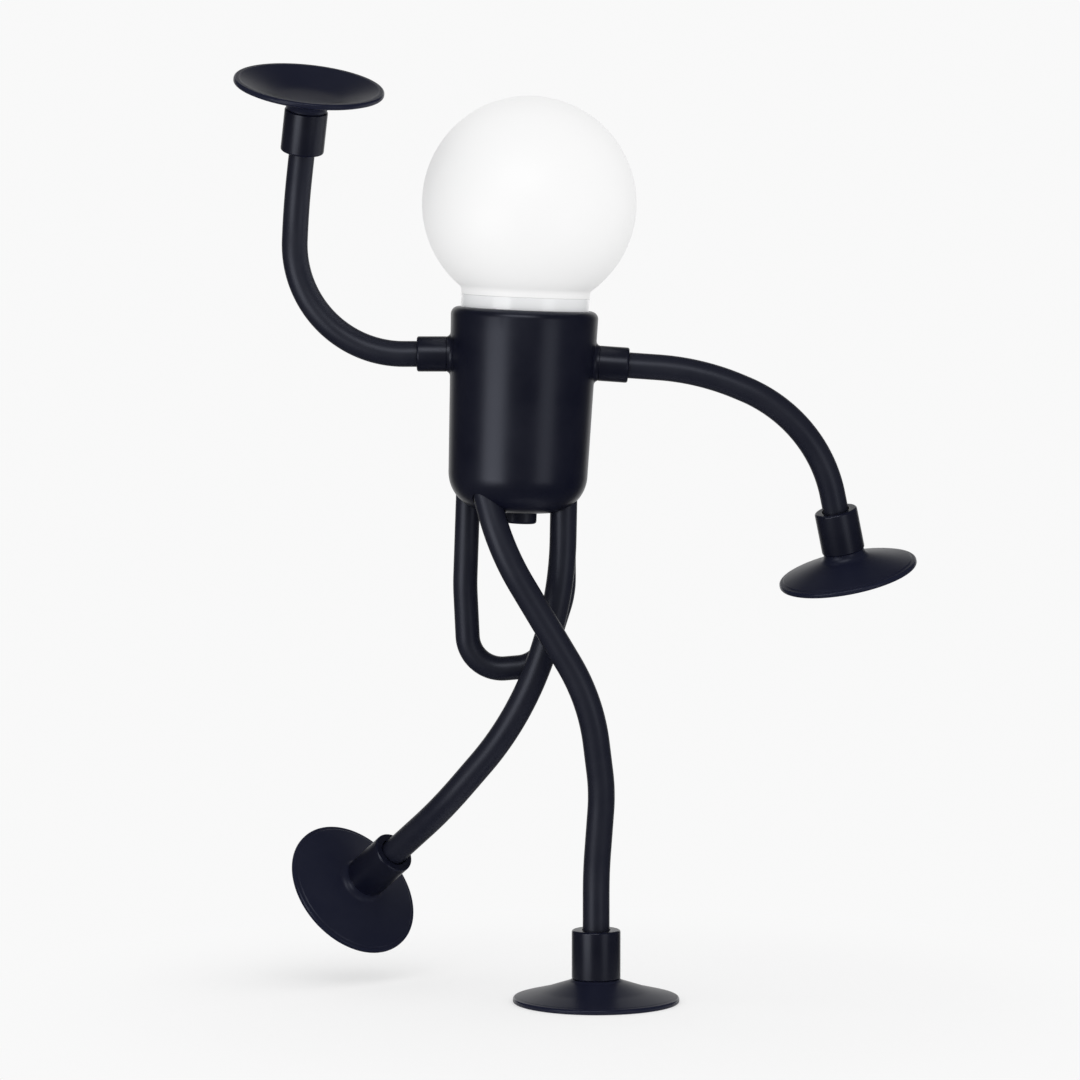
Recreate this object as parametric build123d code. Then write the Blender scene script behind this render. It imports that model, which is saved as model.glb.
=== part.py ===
from build123d import *
import os
from math import asin, cos, radians, sin, sqrt, tan

# A posable figure lamp: a tapered cup-shaped body holds a round bulb as its head, and four
# flexible limbs end in suction cups. All sizes are in millimetres. The origin is the centre
# of the standing foot on the floor, +X is the figure's picture right, +Y is away from the
# viewer and +Z is up.

# Body shell: where it stands in the air, how it leans, and its drawn shape
body_x = -35.55
body_depth = 4.0
body_underside = 219.4
body_lean = 2.4
body_height = 90.0
body_top_radius = 32.8
body_foot_radius = 30.5
body_bottom_rounding = 17.0
body_wall = 1.5
rim_wall = 3.9
rim_depth = 9.0
rim_rounding = 3.4
rim_inner_rounding = 0.4

# Limb hoses and the jointed core inside them
arm_hose_radius = 5.75
leg_hose_radius = 6.0
hose_bore_radius = 4.7
hose_grip = 9.5
hose_gap = 0.4
ball_radius = 3.0
ball_clearance = 0.05
ball_wrap = 1.2
socket_radius = 4.1
socket_depth = 5.4
neck_radius = 1.2
rod_radius = 3.2
rod_setback = 4.4
joint_reach = 17.0

# Shoulder fittings on the body's sides
left_shoulder_drop = 21.4
right_shoulder_drop = 22.7
shoulder_radius = 7.85
shoulder_length = 13.3
shoulder_proud = 1.5
shoulder_flare = 2.0
spigot_radius = 3.2
spigot_length = 8.5
spigot_clearance = 0.1
left_shoulder_droop = 0.0
right_shoulder_droop = 4.0
nut_across = 11.0
nut_thickness = 3.0
nut_gap = 0.3

# Limb routes: each bend is an offset from the mouth where the limb leaves its collar or hole
left_arm_bends = [(-56.2, 0, 0), (-53.3, 0, 65.3)]
left_arm_end = (-50.3, -6.9, 89.5)
left_arm_radii = [48.2, 95.0]
right_arm_bends = [(31.5, 0, -2.2), (84.0, 0, -24.0)]
right_arm_end = (92.6, 8.2, -64.9)
right_arm_radii = [112.0, 66.0]
hip_depth = 8.0
standing_hip = (-12.0, -18.4)
standing_leg_bends = [(-42.2, -17.5, 203.5), (-2.5, -12.0, 136.4), (2.6, -5.0, 95.0), (0, 0, 58.0)]
standing_leg_radii = [100.0, 92.0, 92.0, 120.0]
lifted_hip = (20.9, -1.0)
lifted_leg_bends = [(-0.7, 0, -37.0), (-17.2, 3.0, -92.5), (-54.7, 23.5, -138.4)]
lifted_leg_end = (-77.0, 46.0, -161.2)
lifted_leg_radii = [160.0, 135.0, 104.0]

# Collars and suction cups at the limbs' ends
hand_collar_radius = 9.6
hand_collar_length = 19.0
foot_collar_radius = 9.8
foot_collar_length = 23.5
standing_collar_radius = 10.9
standing_collar_length = 22.0
plug_radius = 6.0
plug_length = 6.6
plug_clearance = 0.2
collar_mouth_rounding = 0.4
cup_depth = 12.0
cup_neck_inset = 1.0
cup_neck_height = 1.2
cup_lip = 2.6
cup_lip_step = 0.4
cup_cone_inset = 1.7
cup_face_inset = 2.4
cup_web = 3.6
cup_web_radius = 13.0
left_cup_radius = 33.3
right_cup_radius = 31.2
lifted_cup_radius = 33.1
standing_cup_radius = 37.2
standing_cup_height = 10.4
standing_neck_drop = 1.0
standing_waist = (24.6, 5.2)
standing_lip = 2.0
standing_hollow_radius = 30.2
standing_hollow_depth = 0.6
weight_gap = 0.2
weight_edge = 1.8
weight_top_radius = 12.0
weight_height = 7.2

# Hanging loop behind the legs
loop_radius = 5.45
loop_left = (-21.9, 9.0)
loop_right = (20.4, 13.4)
loop_bends = [(-1.3, 3.0, -38.0), (0.5, 7.0, -77.4), (32.6, 7.0, -74.6), (42.9, 5.0, -41.4)]
loop_bend_radii = [96.0, 15.5, 14.8, 43.0]

# Hip block, switch and push button in the bottom of the body
block_top = 20.0
block_bore = 9.2
block_gap = 0.3
seat_clearance = 0.05
stem_radius = 3.7
stem_length = 6.0
screw_circle = 10.8
screw_head_radius = 1.9
screw_head_height = 1.3
screw_radius = 1.25
screw_length = 9.0
button_offset = 2.0
button_radius = 7.1
button_proud = 5.3
button_edge = 1.2
button_clearance = 0.35
button_flange = 8.4
button_flange_thickness = 1.2
button_travel = 1.8
plunger_radius = 2.0
switch_radius = 8.7
switch_bottom = 6.2
switch_top = 24.0
switch_lip_width = 2.5
switch_lip_thickness = 1.2

# Power inlet in the back of the body
inlet_height = 29.0
inlet_flange_radius = 5.5
inlet_flange_proud = 1.2
inlet_body_radius = 4.0
inlet_length = 14.0
inlet_bore_radius = 2.75
inlet_bore_depth = 9.5
inlet_nut_thickness = 2.0
inlet_recess = 0.3

# Lampholder on its plate, pillars and leads
plate_height = 38.0
plate_thickness = 1.6
pillar_radius = 3.0
pillar_place = 12.0
holder_radius = 19.0
holder_rim_gap = 1.0
holder_floor = 6.4
holder_wall = 4.6
screw_shell_wall = 0.9
contact_length = 16.0
contact_width = 5.0
contact_thickness = 0.8
plate_screw_reach = 5.0
plate_screw_head = 1.4
lead_radius = 0.9
lead_clearance = 0.15

# Bulb: opal globe, housing, screw cap and light board
globe_radius = 47.5
globe_centre = 136.6
globe_wall = 1.1
globe_fillet = 3.0
bulb_neck_radius = 28.5
bulb_seam = 95.5
housing_shoulder = 86.0
housing_foot = 71.0
housing_wall = 1.6
cap_radius = 12.95
cap_clearance = 0.35
cap_wall = 0.8
cap_bottom = 50.0
cap_tip = 47.0
tip_radius = 4.5
board_radius = 24.5
board_thickness = 1.6
board_ledge = 1.6
board_clearance = 0.2
spigot_height = 3.0
cap_overlap = 6.0

# Small edges, and how far a cut runs past the face that it goes through
edge_rounding = 1.0
overshoot = 1.0

left_shoulder_height = body_height - left_shoulder_drop
right_shoulder_height = body_height - right_shoulder_drop
holder_top = housing_foot - holder_rim_gap

body = Plane(
    origin=(body_x, body_depth, body_underside),
    x_dir=(cos(radians(body_lean)), 0, -sin(radians(body_lean))),
    z_dir=(sin(radians(body_lean)), 0, cos(radians(body_lean))),
)
parts = {}


def turned(frame, outline, rounding=None):
    """Revolve a closed outline of (radius, height) points about the frame's Z axis."""
    points = [(radius, 0, height) for radius, height in outline]
    radii = [(rounding or {}).get(index, 0) for index in range(len(points))]
    face = make_face(FilletPolyline(*points, radius=radii, close=True).edges())
    return frame * revolve(face, Axis.Z)


def rod(frame, radius, low, high):
    """A round bar along the frame's Z axis from one height to another."""
    return frame * (Pos(0, 0, (low + high) / 2) * Cylinder(radius, high - low))


def on_body(x, y, height):
    """A point given in the leaning body's own coordinates."""
    return body.from_local_coords(Vector(x, y, height))


def outer_radius(height):
    """The body shell's outer radius at a height, above its rounded bottom."""
    return body_foot_radius + (body_top_radius - body_foot_radius) * height / body_height


def frame_at(path, distance):
    """A frame on a limb's centreline, with Z along the limb towards its cup."""
    origin = path.position_at(distance, position_mode=PositionMode.LENGTH)
    along = path.tangent_at(distance, position_mode=PositionMode.LENGTH)
    return Plane(origin=origin, x_dir=(0, 1, 0), z_dir=along)


def tube(path, start, end, radius, bore=0):
    """A round tube or bar along the stretch of a centreline between two distances."""
    stretch = path.trim(start / path.length, end / path.length)
    section = Circle(radius) - Circle(bore) if bore else Circle(radius)
    return sweep(frame_at(path, start) * section, path=stretch)


def ball_end(path, joint):
    """The ball and its thin neck, standing on the rod that ends short of the joint."""
    neck = tube(path, joint - rod_setback - edge_rounding, joint, neck_radius)
    return neck + frame_at(path, joint) * Sphere(ball_radius)


def socket_end(path, joint):
    """The round socket that wraps a little more than half of the ball before it."""
    cup = rod(frame_at(path, joint), socket_radius, -ball_wrap, socket_depth)
    return cup - frame_at(path, joint) * Sphere(ball_radius + ball_clearance)


def core_link(path, start, end):
    """One core link: a socket at its near joint, a rod, and a ball at its far joint."""
    bar = tube(path, start + socket_depth - edge_rounding, end - rod_setback, rod_radius)
    return socket_end(path, start) + bar + ball_end(path, end)


def limb_path(mouth, direction, bends, radii, end, end_direction):
    """A centreline from inside the near collar to inside the far one, past its two mouths."""
    first = mouth - direction * hose_grip
    last = end + end_direction * hose_grip
    route = FilletPolyline(first, *bends, last, radius=radii)
    turns = ", ".join(f"{radius:.0f}" for radius in radii)
    print(f"centreline {route.length:.1f} mm long, bend radii {turns} mm")
    return Wire(route.edges())


def cup_outline(neck, radius, start):
    """The outline of a free suction cup: plug, neck, flaring cone, lip and hollow inside."""
    rim = start + cup_depth
    return [
        (0, start - plug_length),
        (plug_radius, start - plug_length),
        (plug_radius, start),
        (neck - cup_neck_inset, start),
        (neck - cup_neck_inset, start + cup_neck_height),
        (radius - cup_cone_inset, rim - cup_lip),
        (radius, rim - cup_lip + cup_lip_step),
        (radius, rim),
        (radius - cup_face_inset, rim),
        (cup_web_radius, start + cup_neck_height + cup_web),
        (0, start + cup_neck_height + cup_web),
    ]


def limb(name, joints, bodies, path, hose_radius, root, collar_radius, collar_length, cup):
    """All pieces of one limb past its root: hose spans, core links, end collar and cup.

    The hose is one piece on the real lamp. Here each span rides with the link inside it,
    and the spans meet face to face at the three places where the limb bends.
    """
    reach = path.length
    near = hose_grip + joint_reach
    far = reach - hose_grip - joint_reach
    middle = (near + far) / 2
    first, second, third = joints
    upper, lower, last = bodies
    root_bar = tube(path, 0, near - rod_setback, rod_radius) + ball_end(path, near)
    parts[root] = parts[root] + root_bar
    parts[f"{name}_{first}_hose"] = tube(path, 0, near, hose_radius, hose_bore_radius)
    parts[f"{name}_{upper}_link"] = core_link(path, near, middle)
    parts[f"{name}_{upper}_hose"] = tube(path, near, middle, hose_radius, hose_bore_radius)
    parts[f"{name}_{lower}_link"] = core_link(path, middle, far)
    parts[f"{name}_{lower}_hose"] = tube(path, middle, far, hose_radius, hose_bore_radius)
    parts[f"{name}_{third}_hose"] = tube(path, far, reach, hose_radius, hose_bore_radius)
    mouth = frame_at(path, reach - hose_grip)
    bore = hose_radius + hose_gap
    web = hose_grip + block_gap
    recess = collar_length - plug_length - plug_clearance
    outline = [
        (0, recess),
        (0, hose_grip - overshoot),
        (stem_radius, hose_grip - overshoot),
        (stem_radius, web),
        (bore, web),
        (bore, 0),
        (collar_radius, 0),
        (collar_radius, collar_length),
        (plug_radius + plug_clearance, collar_length),
        (plug_radius + plug_clearance, recess),
    ]
    rounding = {5: collar_mouth_rounding, 6: edge_rounding, 7: edge_rounding * 0.6}
    collar = turned(mouth, outline, rounding)
    bar = tube(path, far + socket_depth - edge_rounding, reach, rod_radius)
    parts[f"{name}_{last}_collar"] = collar + socket_end(path, far) + bar
    parts[f"{name}_{last}_cup"] = turned(mouth, *cup)
    joint_places[name] = [frame_at(path, place) for place in (near, middle, far)]


joint_places = {}

# Body shell, drawn from one blank: a tapered cup with a rounded bottom and a rolled rim
inner_foot = body_foot_radius - body_wall
inner_top = body_top_radius - body_wall
rim_radius = body_top_radius - rim_wall
rim_foot = inner_top + (inner_foot - inner_top) * rim_depth / (body_height - body_wall)
inner_rounding = body_bottom_rounding - body_wall
shell = turned(
    body,
    [
        (0, 0),
        (body_foot_radius, 0),
        (body_top_radius, body_height),
        (rim_radius, body_height),
        (rim_radius, body_height - rim_depth / 2),
        (rim_foot, body_height - rim_depth),
        (inner_foot, body_wall),
        (0, body_wall),
    ],
    {1: body_bottom_rounding, 2: rim_rounding, 3: rim_inner_rounding, 6: inner_rounding},
)
cavity = turned(
    body,
    [(0, body_wall), (inner_foot, body_wall), (inner_top, body_height), (0, body_height)],
    {1: inner_rounding},
)

# Shoulder fittings: a turned collar with a threaded spigot through the body's side
arm_directions = {
    "left": Vector(-cos(radians(left_shoulder_droop)), 0, -sin(radians(left_shoulder_droop))),
    "right": Vector(cos(radians(right_shoulder_droop)), 0, -sin(radians(right_shoulder_droop))),
}
arm_mouths = {}
nuts = Part()
for side, direction in arm_directions.items():
    sign = 1 if side == "right" else -1
    height = right_shoulder_height if side == "right" else left_shoulder_height
    wall_radius = outer_radius(height)
    wall = on_body(sign * wall_radius, 0, height)
    seat = Plane(origin=wall + direction * shoulder_proud, x_dir=(0, 1, 0), z_dir=direction)
    boss = rod(seat, shoulder_radius, -shoulder_proud - body_wall, 0) - cavity
    shell = shell + boss
    root_edges = shell.edges().filter_by(GeomType.BSPLINE).sort_by_distance(wall)
    shell = fillet(root_edges[0:1], shoulder_flare)
    shell -= rod(seat, spigot_radius + spigot_clearance, -shoulder_proud - body_wall * 3, overshoot)
    bore = arm_hose_radius + hose_gap
    web = hose_grip + block_gap
    stem = shoulder_length - hose_grip + overshoot
    outline = [
        (0, -spigot_length),
        (spigot_radius, -spigot_length),
        (spigot_radius, 0),
        (shoulder_radius, 0),
        (shoulder_radius, shoulder_length),
        (bore, shoulder_length),
        (bore, shoulder_length - web),
        (stem_radius, shoulder_length - web),
        (stem_radius, stem),
        (0, stem),
    ]
    rounding = {3: edge_rounding * 0.4, 4: edge_rounding, 5: collar_mouth_rounding}
    parts[f"{side}_shoulder_fitting"] = turned(seat, outline, rounding)
    arm_mouths[side] = seat.origin + direction * shoulder_length
    sag = wall_radius - body_wall - sqrt((wall_radius - body_wall) ** 2 - (nut_across / 2) ** 2)
    nut_face = -shoulder_proud - body_wall - sag - nut_gap
    nut = extrude(RegularPolygon(nut_across / 2, 6, major_radius=False), nut_thickness)
    nut = seat * (Pos(0, 0, nut_face - nut_thickness) * nut)
    nuts += nut - rod(seat, spigot_radius + seat_clearance, -spigot_length - nut_thickness, 0)
parts["shoulder_nuts"] = nuts

# Hips and hanging loop: where each tube passes down through the body's rounded bottom
hip_mouths = {}
hip_frames = {}
leg_bends = {}
for side, place in (("standing", standing_hip), ("lifted", lifted_hip)):
    mouth = on_body(*place, hip_depth - hose_grip / 2)
    bends = [Vector(*bend) for bend in standing_leg_bends]
    if side == "lifted":
        bends = [mouth + Vector(*bend) for bend in lifted_leg_bends]
    leg_bends[side] = bends
    direction = (bends[0] - mouth).normalized()
    hip_mouths[side] = mouth
    hip_frames[side] = Plane(origin=mouth, x_dir=(0, 1, 0), z_dir=direction)
    hole = leg_hose_radius + hose_gap
    shell -= rod(hip_frames[side], hole, -hose_grip - block_gap, hose_grip * 3)
left_entry = on_body(*loop_left, hip_depth + hose_grip / 2)
right_entry = on_body(*loop_right, hip_depth + hose_grip / 2)
loop_mouth = on_body(*loop_left, hip_depth - hose_grip / 2)
loop_points = [loop_mouth + Vector(*bend) for bend in loop_bends]
loop_path = FilletPolyline(left_entry, *loop_points, right_entry, radius=loop_bend_radii)
loop_wire = Wire(loop_path.edges())
parts["hanging_loop"] = tube(loop_wire, 0, loop_wire.length, loop_radius)
loop_left_frame = frame_at(loop_wire, 0)
loop_right_frame = frame_at(loop_wire, loop_wire.length)
loop_hole = loop_radius + hose_gap
loop_holes = rod(loop_left_frame, loop_hole, -block_gap, hose_grip * 3)
loop_holes += rod(loop_right_frame, loop_hole, -hose_grip * 3, block_gap)
shell -= loop_holes

# Hip block: a moulded block that fills the bottom and carries the limbs' stems
block = turned(
    body,
    [
        (0, body_wall),
        (inner_foot - block_gap, body_wall),
        (inner_foot - block_gap, block_top),
        (0, block_top),
    ],
    {1: inner_rounding + block_gap, 2: edge_rounding},
)
button_frame = body * Pos(button_offset, 0, 0)
block -= rod(button_frame, block_bore, 0, block_top + overshoot)
block -= loop_holes
for side, frame in hip_frames.items():
    hole = leg_hose_radius + hose_gap
    block -= rod(frame, hole, -hose_grip - block_gap, hose_grip * 3)
    block -= rod(frame, stem_radius + seat_clearance, -hose_grip - stem_length, 0)
    stud = rod(frame, stem_radius, -hose_grip - stem_length, -hose_grip + overshoot)
    parts[f"{side}_hip_stud"] = stud

# Push button, its hole, and the switch that it works
button_hole = button_radius + button_clearance
shell -= rod(button_frame, button_hole, -overshoot, body_wall + overshoot)
flange_top = body_wall + button_flange_thickness
plunger_top = switch_bottom + button_travel + overshoot
parts["push_button"] = turned(
    button_frame,
    [
        (0, -button_proud),
        (button_radius, -button_proud),
        (button_radius, body_wall),
        (button_flange, body_wall),
        (button_flange, flange_top),
        (plunger_radius, flange_top),
        (plunger_radius, plunger_top),
        (0, plunger_top),
    ],
    {1: button_edge},
)
switch = rod(button_frame, switch_radius, switch_bottom, switch_top)
switch_lip_top = block_top + switch_lip_thickness
switch += rod(button_frame, block_bore + switch_lip_width, block_top, switch_lip_top)
plunger_end = plunger_top + button_travel + overshoot
switch -= rod(button_frame, plunger_radius + spigot_clearance, switch_bottom - overshoot, plunger_end)
parts["push_switch"] = switch

# Two countersunk screws that hold the hip block from below
screws = Part()
for turn in (90, 270):
    place = body * Rot(0, 0, turn) * Pos(screw_circle, 0, 0)
    head = [(0, 0), (screw_head_radius, 0), (screw_radius, screw_head_height)]
    head.append((screw_radius, screw_length))
    screw = turned(place, head + [(0, screw_length)])
    screws += screw
    block -= screw
    shell -= screw
parts["block_screws"] = screws

# Pillars, plate and lampholder
pillars = Part()
plate_screws = Part()
plate_top = plate_height + plate_thickness
inner_wall = inner_foot + (inner_top - inner_foot) * plate_height / body_height
plate = rod(body, inner_wall - block_gap, plate_height, plate_top)
for sign in (1, -1):
    place = body * Pos(sign * pillar_place, sign * pillar_place, 0)
    pillar = rod(place, pillar_radius, block_top, plate_height)
    pillar += rod(place, screw_radius, block_top - plate_screw_reach, block_top + overshoot)
    hole = screw_radius + seat_clearance
    block -= rod(place, hole, block_top - plate_screw_reach, block_top + overshoot)
    screw = rod(place, screw_radius, plate_height - plate_screw_reach, plate_top)
    screw += rod(place, screw_radius * 2, plate_top, plate_top + plate_screw_head)
    bore = rod(place, hole, plate_height - plate_screw_reach, plate_top + overshoot)
    pillars += pillar - bore
    plate -= bore
    plate_screws += screw
parts["plate_pillars"] = pillars
parts["plate_screws"] = plate_screws
holder_base = plate_top
shell_radius = cap_radius + cap_clearance
holder_bore = holder_radius - holder_wall
seat_height = holder_base + holder_floor
holder = rod(body, holder_radius, holder_base, holder_top)
holder -= rod(body, holder_bore, seat_height, holder_top + overshoot)
for sign in (1, -1):
    place = body * Pos(sign * pillar_place, sign * pillar_place, 0)
    pocket_top = holder_base + plate_screw_head + block_gap
    holder -= rod(place, screw_radius * 2 + block_gap, holder_base - overshoot, pocket_top)
parts["holder_screw_shell"] = turned(
    body,
    [
        (shell_radius, seat_height),
        (shell_radius + screw_shell_wall, seat_height),
        (shell_radius + screw_shell_wall, holder_top - overshoot),
        (shell_radius, holder_top - overshoot),
    ],
)
strip = Pos(0, 0, seat_height + contact_thickness / 2)
parts["holder_contact"] = body * (strip * Box(contact_length, contact_width, contact_thickness))

# Power inlet: a round jack with a flange outside and a nut inside
back_radius = outer_radius(inlet_height)
inlet = Plane(
    origin=on_body(0, back_radius - inlet_recess, inlet_height),
    x_dir=body.x_dir,
    z_dir=body.from_local_coords(Vector(0, 1, 0)) - body.origin,
)
shell -= rod(inlet, inlet_body_radius + spigot_clearance, -inlet_length, inlet_flange_proud)
shell -= rod(inlet, inlet_flange_radius + spigot_clearance, 0, inlet_flange_proud + overshoot)
jack = turned(
    inlet,
    [
        (0, -inlet_length),
        (inlet_body_radius, -inlet_length),
        (inlet_body_radius, 0),
        (inlet_flange_radius, 0),
        (inlet_flange_radius, inlet_flange_proud),
        (inlet_bore_radius, inlet_flange_proud),
        (inlet_bore_radius, inlet_flange_proud - inlet_bore_depth),
        (0, inlet_flange_proud - inlet_bore_depth),
    ],
    {4: edge_rounding * 0.6},
)
parts["power_inlet"] = jack
inlet_nut_face = inlet_recess - body_wall - inlet_flange_radius ** 2 / (back_radius * 2) - nut_gap
parts["inlet_nut"] = turned(
    inlet,
    [
        (inlet_body_radius + seat_clearance, inlet_nut_face - inlet_nut_thickness),
        (inlet_flange_radius, inlet_nut_face - inlet_nut_thickness),
        (inlet_flange_radius, inlet_nut_face),
        (inlet_body_radius + seat_clearance, inlet_nut_face),
    ],
)

# Insulated leads inside the body: inlet to switch, inlet to holder, switch to holder
lead_start = back_radius - inlet_recess - inlet_length
lead_top = seat_height - 2
routes = [
    [(-2, lead_start, inlet_height), (-2, 3, inlet_height), (-2, 3, switch_top)],
    [(2, lead_start, inlet_height), (2, lead_start - 5, inlet_height), (4, 8, lead_top)],
    [(0, -4, switch_top), (0, -4, plate_height - 6), (0, -7, lead_top)],
]
lead_bends = [4.0, 3.5, 20.0]
leads = Part()
for route, bend in zip(routes, lead_bends):
    wire = Wire(FilletPolyline(*[on_body(*point) for point in route], radius=bend).edges())
    lead = tube(wire, 0, wire.length, lead_radius)
    leads += lead
    passage = tube(wire, 0, wire.length, lead_radius + lead_clearance)
    plate -= passage
    holder -= passage
parts["internal_leads"] = leads
parts["holder_plate"] = plate
parts["lamp_holder"] = holder
parts["hip_block"] = block
parts["body_shell"] = shell

# Bulb: an opal globe on a white housing with a screw cap, drawn in the body's own frame
centre = globe_centre
fillet_out = bulb_neck_radius + globe_fillet
fillet_drop = sqrt((globe_radius + globe_fillet) ** 2 - fillet_out ** 2)
share = globe_radius / (globe_radius + globe_fillet)
sphere_edge = (fillet_out * share, centre - fillet_drop * share)
neck_edge = (bulb_neck_radius, centre - fillet_drop)
inner_globe = globe_radius - globe_wall
inner_neck = bulb_neck_radius - globe_wall
inner_drop = sqrt(inner_globe ** 2 - inner_neck ** 2)
fillet_mid = Vector(fillet_out, 0, centre - fillet_drop) + Vector(-1, 0, 0.55).normalized() * globe_fillet
globe_lines = [
    ThreePointArc((0, 0, centre + globe_radius), (globe_radius, 0, centre), (sphere_edge[0], 0, sphere_edge[1])),
    ThreePointArc((sphere_edge[0], 0, sphere_edge[1]), fillet_mid, (neck_edge[0], 0, neck_edge[1])),
    Line((neck_edge[0], 0, neck_edge[1]), (bulb_neck_radius, 0, bulb_seam)),
    Line((bulb_neck_radius, 0, bulb_seam), (inner_neck, 0, bulb_seam)),
    Line((inner_neck, 0, bulb_seam), (inner_neck, 0, centre - inner_drop)),
    ThreePointArc((inner_neck, 0, centre - inner_drop), (inner_globe, 0, centre), (0, 0, centre + inner_globe)),
    Line((0, 0, centre + inner_globe), (0, 0, centre + globe_radius)),
]
globe_face = make_face([edge for line in globe_lines for edge in line.edges()])
parts["bulb_globe"] = body * revolve(globe_face, Axis.Z)
collar_top = bulb_seam + spigot_height
board_seat = bulb_seam + 0.8
parts["bulb_housing"] = turned(
    body,
    [
        (cap_radius - cap_wall - spigot_clearance, housing_foot - cap_overlap),
        (cap_radius - cap_wall - spigot_clearance, housing_foot),
        (cap_radius + housing_wall, housing_foot),
        (bulb_neck_radius, housing_shoulder),
        (bulb_neck_radius, bulb_seam),
        (inner_neck - lead_clearance, bulb_seam),
        (inner_neck - lead_clearance, collar_top),
        (board_radius + board_clearance, collar_top),
        (board_radius + board_clearance, board_seat),
        (board_radius - board_ledge, board_seat),
        (bulb_neck_radius - housing_wall * 2.2, housing_shoulder + 1),
        (cap_radius - cap_wall - housing_wall, housing_foot + 1),
        (cap_radius - cap_wall - housing_wall, housing_foot - cap_overlap),
    ],
    {3: 5.0},
)
parts["light_board"] = rod(body, board_radius, board_seat, board_seat + board_thickness)
parts["bulb_cap"] = turned(
    body,
    [
        (cap_radius - cap_wall, cap_bottom),
        (cap_radius, cap_bottom),
        (cap_radius, housing_foot),
        (cap_radius - cap_wall, housing_foot),
    ],
)
parts["bulb_contact"] = turned(
    body,
    [
        (0, cap_tip),
        (tip_radius, cap_tip),
        (tip_radius, cap_tip + 1.2),
        (cap_radius - cap_wall, cap_bottom),
        (cap_radius - cap_wall, cap_bottom + 2),
        (0, cap_bottom + 2),
    ],
    {1: 0.6},
)

# Limbs
cup_rounding = {4: 1.4, 5: 0.3, 6: 0.9, 7: 0.9, 8: 1.2, 9: 20.0}
for side, bends, radii, end, cup_radius in (
    ("left", left_arm_bends, left_arm_radii, left_arm_end, left_cup_radius),
    ("right", right_arm_bends, right_arm_radii, right_arm_end, right_cup_radius),
):
    mouth = arm_mouths[side]
    points = [mouth + Vector(*bend) for bend in bends]
    tip = mouth + Vector(*end)
    path = limb_path(mouth, arm_directions[side], points, radii, tip, (tip - points[-1]).normalized())
    cup = (cup_outline(hand_collar_radius, cup_radius, hand_collar_length), cup_rounding)
    limb(side, ("shoulder", "elbow", "wrist"), ("upper_arm", "forearm", "hand"), path,
         arm_hose_radius, f"{side}_shoulder_fitting", hand_collar_radius, hand_collar_length, cup)

# The lifted leg hangs its foot behind the standing leg
mouth = hip_mouths["lifted"]
points = leg_bends["lifted"]
tip = mouth + Vector(*lifted_leg_end)
direction = hip_frames["lifted"].z_dir
path = limb_path(mouth, direction, points, lifted_leg_radii, tip, (tip - points[-1]).normalized())
cup = (cup_outline(foot_collar_radius, lifted_cup_radius, foot_collar_length), cup_rounding)
limb("lifted", ("hip", "knee", "ankle"), ("thigh", "shin", "foot"), path, leg_hose_radius,
     "lifted_hip_stud", foot_collar_radius, foot_collar_length, cup)

# The standing leg runs down to the origin, where its cup is pressed flat on the floor
mouth = hip_mouths["standing"]
tip = Vector(0, 0, standing_cup_height + standing_collar_length)
points = leg_bends["standing"]
direction = hip_frames["standing"].z_dir
path = limb_path(mouth, direction, points, standing_leg_radii, tip, Vector(0, 0, -1))
start = standing_collar_length
rim = start + standing_cup_height
weight_foot = rim - standing_hollow_depth
outline = [
    (0, start - plug_length),
    (plug_radius, start - plug_length),
    (plug_radius, start),
    (standing_collar_radius, start),
    (standing_collar_radius + standing_neck_drop, start + standing_neck_drop),
    (standing_waist[0], rim - standing_waist[1]),
    (standing_cup_radius - cup_cone_inset, rim - standing_lip - cup_lip_step),
    (standing_cup_radius, rim - standing_lip),
    (standing_cup_radius, rim),
    (standing_hollow_radius, rim),
    (standing_hollow_radius, weight_foot - weight_edge),
    (weight_top_radius + weight_gap, weight_foot - weight_height - weight_gap),
    (0, weight_foot - weight_height - weight_gap),
]
cup = (outline, {4: 3.0, 5: 40.0, 6: 0.3, 7: 0.9, 8: 0.4})
limb("standing", ("hip", "knee", "ankle"), ("thigh", "shin", "foot"), path, leg_hose_radius,
     "standing_hip_stud", standing_collar_radius, standing_collar_length, cup)

# A steel disc in the standing cup's underside keeps the lamp on its one foot
weight_radius = standing_hollow_radius - weight_gap
parts["standing_foot_weight"] = turned(
    frame_at(path, path.length - hose_grip),
    [
        (0, weight_foot - weight_height),
        (weight_top_radius, weight_foot - weight_height),
        (weight_radius, weight_foot - weight_edge),
        (weight_radius, weight_foot),
        (0, weight_foot),
    ],
)

os.makedirs("parts", exist_ok=True)
for name, piece in parts.items():
    piece.label = name
    export_step(piece, f"parts/{name}.step")
print(len(parts), "pieces written")
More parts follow.
